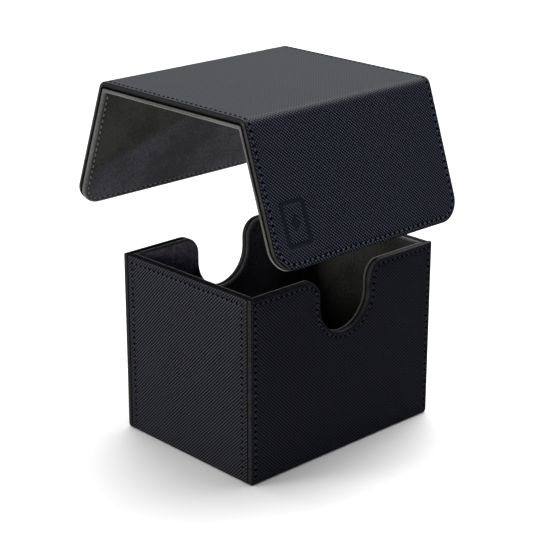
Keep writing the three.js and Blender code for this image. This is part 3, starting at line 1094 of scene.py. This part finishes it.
def make_magnet():
    """Nickel plate with fine handling scratches."""
    material, tree, shader = principled("magnet")
    stretched = vector_node(tree, "MULTIPLY", object_space(tree), (400.0, 4000.0, 400.0))
    scratches = noise_node(tree, stretched, 1.0, 3.0)
    colour = mix_colours(tree, scratches, rgb(0.55, 0.54, 0.5), rgb(0.7, 0.69, 0.66))
    feed(tree, shader.inputs["Base Color"], colour)
    shader.inputs["Metallic"].default_value = 1.0
    feed(tree, shader.inputs["Roughness"], ramp_node(tree, scratches, 0.3, 0.7, 0.2, 0.38))
    bump(tree, shader, scratches, 0.00002)
    return material


thread = make_thread("thread", rgb(0.01, 0.011, 0.017), rgb(0.045, 0.048, 0.067), 0.25)
# painted highlight: the lid's thread is a lighter, bluer copy of the tray's, for the glints along its
# stitches
lid_thread_highlight = make_thread("lid_thread_highlight", rgb(0.02, 0.022, 0.036), rgb(0.085, 0.09, 0.14), 0.25)
# painted shade: a near-black finish for the needle holes' dimples
needle_hole_shade = make_thread("needle_hole_shade", rgb(0.0002, 0.0002, 0.0006), rgb(0.0008, 0.0008, 0.002), 0.02)
# painted highlight: the lining's seam thread is light grey, standing in for the glints on its puckered
# stitches
inner_thread_highlight = make_thread("inner_thread_highlight", rgb(0.07, 0.07, 0.07), rgb(0.22, 0.22, 0.215))
board = make_board()
magnet = make_magnet()
kept = {}
for name, node in frame["nodes"].items():
    if name.endswith("_board"):
        kept[node] = board
    elif "_magnet_" in name:
        kept[node] = magnet
for node, finish in kept.items():
    node.data.materials.clear()
    node.data.materials.append(finish)
print("boards and magnets kept from the frame:", len(kept))

# %% [markdown]
# ## The tray
#
# Both halves of the tray's strip go into one mesh, so the covering runs in one piece from one rim,
# under the base, to the other rim. The two end walls are wrapped on their own and set in between,
# which leaves the long walls' rounded ends standing beside a narrow joint at each upright corner.

# %% The tray's covering
def grid(rows, half_width, size=4.0):
    """Points over a strip, on its cross lines."""
    return [(u, s) for s in rows if s > 0.5 for u in steps(-half_width, half_width, size)]


def gentle(u, s):
    """The slow waves that glue and board leave in a stretched covering."""
    return 0.07 * noise.noise(Vector((u / 22, s / 22, 3.7)))


tray_places = {
    side: folded_place(side, 0, 0, tray_flat, BOTTOM_RADIUS, math.pi / 2, upward=-1)
    for side in ("front", "back")
}
tray_rows = stations(tray_flat, BOTTOM_RADIUS, math.pi / 2, tray_rim - 3)
mesh = bmesh.new()
for side, place in tray_places.items():
    extra = grid(tray_rows, TRAY_HALF_WIDTH - 5)
    turn = 1 if side == "front" else -1
    profile = cover_profile(SEAM_INSET, side=BY_SIDE, under=BY_SIDE)
    add_sheet(mesh, tray_outline, profile, place, extra, relief=gentle, turn=turn)
# The upright ends show stretched covering, and the rims get the near-black finish that paints the
# groove's shade.
for face in mesh.faces:
    if face.material_index == BY_SIDE:
        face.normal_update()
        face.material_index = EDGE if abs(face.normal.x) > 0.5 else NEAR_BLACK
finishes = [wall_covering_painted_shade, tray_stretched, tray_groove_shade]
tray_cover = make_piece("tray_covering", mesh, finishes)
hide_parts("tray_cover")
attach(tray_cover, "tray")

# %% The ends' coverings
end_rows = steps(4, TRAY_HEIGHT - 4, 4)
for side in ("left", "right"):
    mesh = bmesh.new()
    place = end_place(side, TRAY_HALF_WIDTH)
    extra = grid(end_rows, END_HALF_WIDTH - 5)
    profile = cover_profile(END_SEAM_INSET, turned=NEAR_BLACK)
    add_sheet(mesh, end_outline, profile, place, extra, closed=True, relief=gentle)
    finishes = [end_covering, tray_stretched, tray_groove_shade]
    end_cover = make_piece(f"{side}_end_covering", mesh, finishes)
    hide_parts(f"{side}_end_cover")
    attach(end_cover, "tray")

# %% The tray's linings
well_places = {
    side: folded_place(side, 0, lining_floor, lining_flat, LINING_BEND, math.pi / 2, upward=-1)
    for side in ("front", "back")
}
lining_rows = stations(lining_flat, LINING_BEND, math.pi / 2, lining_rim - 3)
mesh = bmesh.new()
for side, place in well_places.items():
    extra = grid(lining_rows, BASE_HALF_LENGTH - 5)
    add_sheet(mesh, tray_lining_outline, lining_profile(None), place, extra)
finishes = [tray_lining, tray_lining_edge, tray_groove_shade]
well_lining = make_piece("tray_soft_lining", mesh, finishes)
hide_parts("tray_lining")
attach(well_lining, "tray")

end_lining_outline = rectangle_outline(end_lining_high.y, end_lining_low.z, end_lining_high.z)
for side in ("left", "right"):
    mesh = bmesh.new()
    place = end_place(side, TRAY_HALF_WIDTH - LINING_START)
    extra = grid(end_rows[1:], END_HALF_WIDTH - 7)
    add_sheet(mesh, end_lining_outline, lining_profile(None), place, extra, closed=True)
    finishes = [end_lining, tray_lining_edge, tray_groove_shade]
    soft_end = make_piece(f"{side}_end_soft_lining", mesh, finishes)
    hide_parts(f"{side}_end_lining")
    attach(soft_end, "tray")

# %% The tray's seams
wall_foot = tray_rim - TRAY_HEIGHT + 4.0
for side, place in tray_places.items():
    mesh = bmesh.new()
    add_seam(mesh, seam_path(tray_outline, SEAM_INSET, wall_foot), place, hole=0.66)
    stitching = make_piece(f"{side}_wall_seam", mesh, [thread, needle_hole_shade])
    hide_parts(f"{side}_wall_stitching")
    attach(stitching, "tray")
for side in ("left", "right"):
    mesh = bmesh.new()
    path = seam_path(end_outline, END_SEAM_INSET, 4.0)
    add_seam(mesh, path, end_place(side, TRAY_HALF_WIDTH), hole=0.66)
    stitching = make_piece(f"{side}_end_seam", mesh, [thread, needle_hole_shade])
    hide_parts(f"{side}_end_stitching")
    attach(stitching, "tray")

# %% [markdown]
# ## The lid
#
# The lid's strip bends at two creases, and each crease is a joint. A mesh can bend across only one
# joint, so the strip is made as a front and a back half that meet on the flat middle of the top
# panel, where both stay still beside each other and nothing shows.

# %% Folding the lid's halves
lid_places = {
    side: folded_place(side, LID_MIDDLE, LID_TOP, lid_flat[side], BEND_RADIUS, angle)
    for side, angle in bend.items()
}
lining_places = {side: lid_lining_place(side, place) for side, place in lid_places.items()}
lid_rows = {
    side: stations(lid_flat[side], BEND_RADIUS, bend[side], lid_end[side] - 3) for side in bend
}
lid_outlines = {side: functools.partial(lid_outline, side) for side in bend}


def bend_with_flap(piece):
    """Bakes the piece's transform into its mesh."""
    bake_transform(piece)


print("lines across each half of the lid:", {side: len(rows) for side, rows in lid_rows.items()})

# %% The lid's covering
MARK_PRESS = 0.28
MARK_GRID = 0.45


def marked_relief(u, s):
    """The covering's slow waves, with the mark pressed in over a soft shoulder."""
    depth = MARK_PRESS / (1 + math.exp(6 * mark_distance(u, s - front_mark_s + MARK_S)))
    return gentle(u, s) - depth


def refine_round_mark(points):
    """Swaps the coarse points under the mark for a fine grid that can carry its relief."""
    width, height = MARK_HALF_WIDTH + 1.5, MARK_HALF_HEIGHT + 1.5
    kept = []
    for u, s in points:
        if max(abs(u - MARK_U) - width, abs(s - front_mark_s) - height) > 0.5:
            kept.append((u, s))
    across = steps(-width, width, MARK_GRID)
    down = steps(-height, height, MARK_GRID)
    return kept + [(MARK_U + u, front_mark_s + s) for u in across for s in down]


def make_lid_covering(side):
    points = grid(lid_rows[side], LID_HALF_WIDTH - 5)
    relief, finish, turn = gentle, lid_covering, 1
    if side == "front":
        points = refine_round_mark(points)
        relief, finish, turn = marked_relief, marked_covering, -1
    mesh = bmesh.new()
    profile = cover_profile(SEAM_INSET, side=EDGE)
    place = lid_places[side]
    add_sheet(mesh, lid_outlines[side], profile, place, points, relief=relief, turn=turn)
    finishes = [finish, lid_stretched, lid_groove_shade]
    half = make_piece(f"{side}_lid_covering", mesh, finishes)
    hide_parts(f"{side}_flap_cover", "lid_top_cover")
    bend_with_flap(half)


print(f"the mark sinks {MARK_PRESS} mm, on a grid of {MARK_GRID} mm")


# %% The lid's lining
def make_lid_lining(side):
    points = grid(lid_rows[side], LID_HALF_WIDTH - 5)
    profile = lining_profile(SEAM_INSET, glued=0.4)
    mesh = bmesh.new()
    add_sheet(mesh, lid_outlines[side], profile, lining_places[side], points)
    finishes = [lid_lining, lid_lining_edge, lid_groove_shade]
    half = make_piece(f"{side}_lid_lining", mesh, finishes)
    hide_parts(f"{side}_flap_lining", "lid_top_lining")
    bend_with_flap(half)


print(f"the lining starts {LINING_START:.1f} mm under the covering's face")


# %% The lid's seams, outside and inside
def make_lid_seam(side):
    mesh = bmesh.new()
    add_seam(mesh, lid_outlines[side](SEAM_INSET), lid_places[side], hole=0.78)
    half = make_piece(f"{side}_lid_seam", mesh, [lid_thread_highlight, needle_hole_shade])
    whole_side = "left" if side == "front" else "right"
    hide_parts(f"{side}_flap_stitching", f"lid_top_{whole_side}_stitching")
    bend_with_flap(half)


def make_lid_inner_seam(side):
    mesh = bmesh.new()
    path, place = lid_outlines[side](SEAM_INSET), lining_places[side]
    add_seam(mesh, path, place, face=-LINING, dip=0.22, outward=-1, hole=0.3)
    half = make_piece(f"{side}_lid_inner_seam", mesh, [inner_thread_highlight, needle_hole_shade])
    bend_with_flap(half)


print(f"both seams run {SEAM_INSET} mm in from the lid's edge")

# %% Both halves of the lid
for side in bend:
    make_lid_covering(side)
    make_lid_lining(side)
    make_lid_seam(side)
    make_lid_inner_seam(side)

# %% [markdown]
# ## The studio
#
# Black, slightly shiny things are lit by what they reflect. A very broad soft light hangs overhead, a
# little behind and to the right, so the top panel shines and the walls stay dark. Small soft boxes
# graze the left end, the front's left corner and the back. Spot lights would leave hard glints on
# the beads instead. The pale floor bounces the rest.

# %% The floor
def make_floor():
    material, tree, shader = principled("floor")
    shader.inputs["Base Color"].default_value = rgb(0.9, 0.9, 0.9)
    shader.inputs["Roughness"].default_value = 1.0
    shader.inputs["Specular IOR Level"].default_value = 0.0
    mesh = bmesh.new()
    bmesh.ops.create_grid(mesh, x_segments=1, y_segments=1, size=6.0)
    data = bpy.data.meshes.new("floor")
    mesh.to_mesh(data)
    mesh.free()
    data.materials.append(material)
    floor = bpy.data.objects.new("floor", data)
    bpy.context.scene.collection.objects.link(floor)
    return floor


floor = make_floor()
floor.visible_glossy = False
print("floor spans", [round(v, 1) for v in floor.dimensions.xy], "m")


# %% The lights
def direction(azimuth, elevation):
    """Where a lamp or camera stands, seen from the box. Azimuth 0 is the front, 90 the right end."""
    turn, rise = math.radians(azimuth), math.radians(elevation)
    return Vector(
        (math.sin(turn) * math.cos(rise), -math.cos(turn) * math.cos(rise), math.sin(rise))
    )


def soft_box(name, azimuth, elevation, distance, size, power):
    """A round soft light, facing the box from a direction."""
    data = bpy.data.lights.new(name, "AREA")
    data.shape = "DISK"
    data.size = size
    data.energy = power
    lamp = bpy.data.objects.new(name, data)
    towards = direction(azimuth, elevation)
    lamp.location = Vector((0, 0, 0.08)) + towards * distance
    lamp.rotation_euler = (-towards).to_track_quat("-Z", "Y").to_euler()
    lamp.visible_camera = False
    bpy.context.scene.collection.objects.link(lamp)


def ceiling(azimuth, elevation, spread, strength):
    """A very broad, even light from above, like a lit ceiling."""
    data = bpy.data.lights.new("ceiling", "SUN")
    data.angle = math.radians(spread)
    data.energy = strength
    lamp = bpy.data.objects.new("ceiling", data)
    lamp.rotation_euler = (-direction(azimuth, elevation)).to_track_quat("-Z", "Y").to_euler()
    bpy.context.scene.collection.objects.link(lamp)


world = bpy.data.worlds.new("studio")
world.use_nodes = True
world.node_tree.nodes["Background"].inputs[0].default_value = rgb(1, 1, 1)
world.node_tree.nodes["Background"].inputs[1].default_value = 0.03
bpy.context.scene.world = world
ceiling(120, 65, spread=66, strength=5.2)
soft_box("back_box", 137, 22, distance=1.5, size=1.0, power=0.5)
soft_box("left_box", -118, 14, distance=1.2, size=0.5, power=8)
soft_box("fill_box", -50, 12, distance=1.2, size=0.3, power=2.8)
bpy.context.scene.view_settings.view_transform = "Standard"
print("lights:", [(lamp.name, round(lamp.energy, 1)) for lamp in bpy.data.lights])

# %% The camera
DISTANCE = 0.6961
LOOK_AT = Vector((2.32, 10.32, 67.53)) * MM
away = direction(-43.25, 19.66)
camera_data = bpy.data.cameras.new("camera")
camera_data.lens = 109.45
camera_data.sensor_width = 36
camera = bpy.data.objects.new("camera", camera_data)
camera.location = LOOK_AT + away * DISTANCE
camera.rotation_euler = (-away).to_track_quat("-Z", "Y").to_euler()
bpy.context.scene.collection.objects.link(camera)
bpy.context.scene.camera = camera
print("camera stands at", [round(v, 2) for v in camera.location], "m")
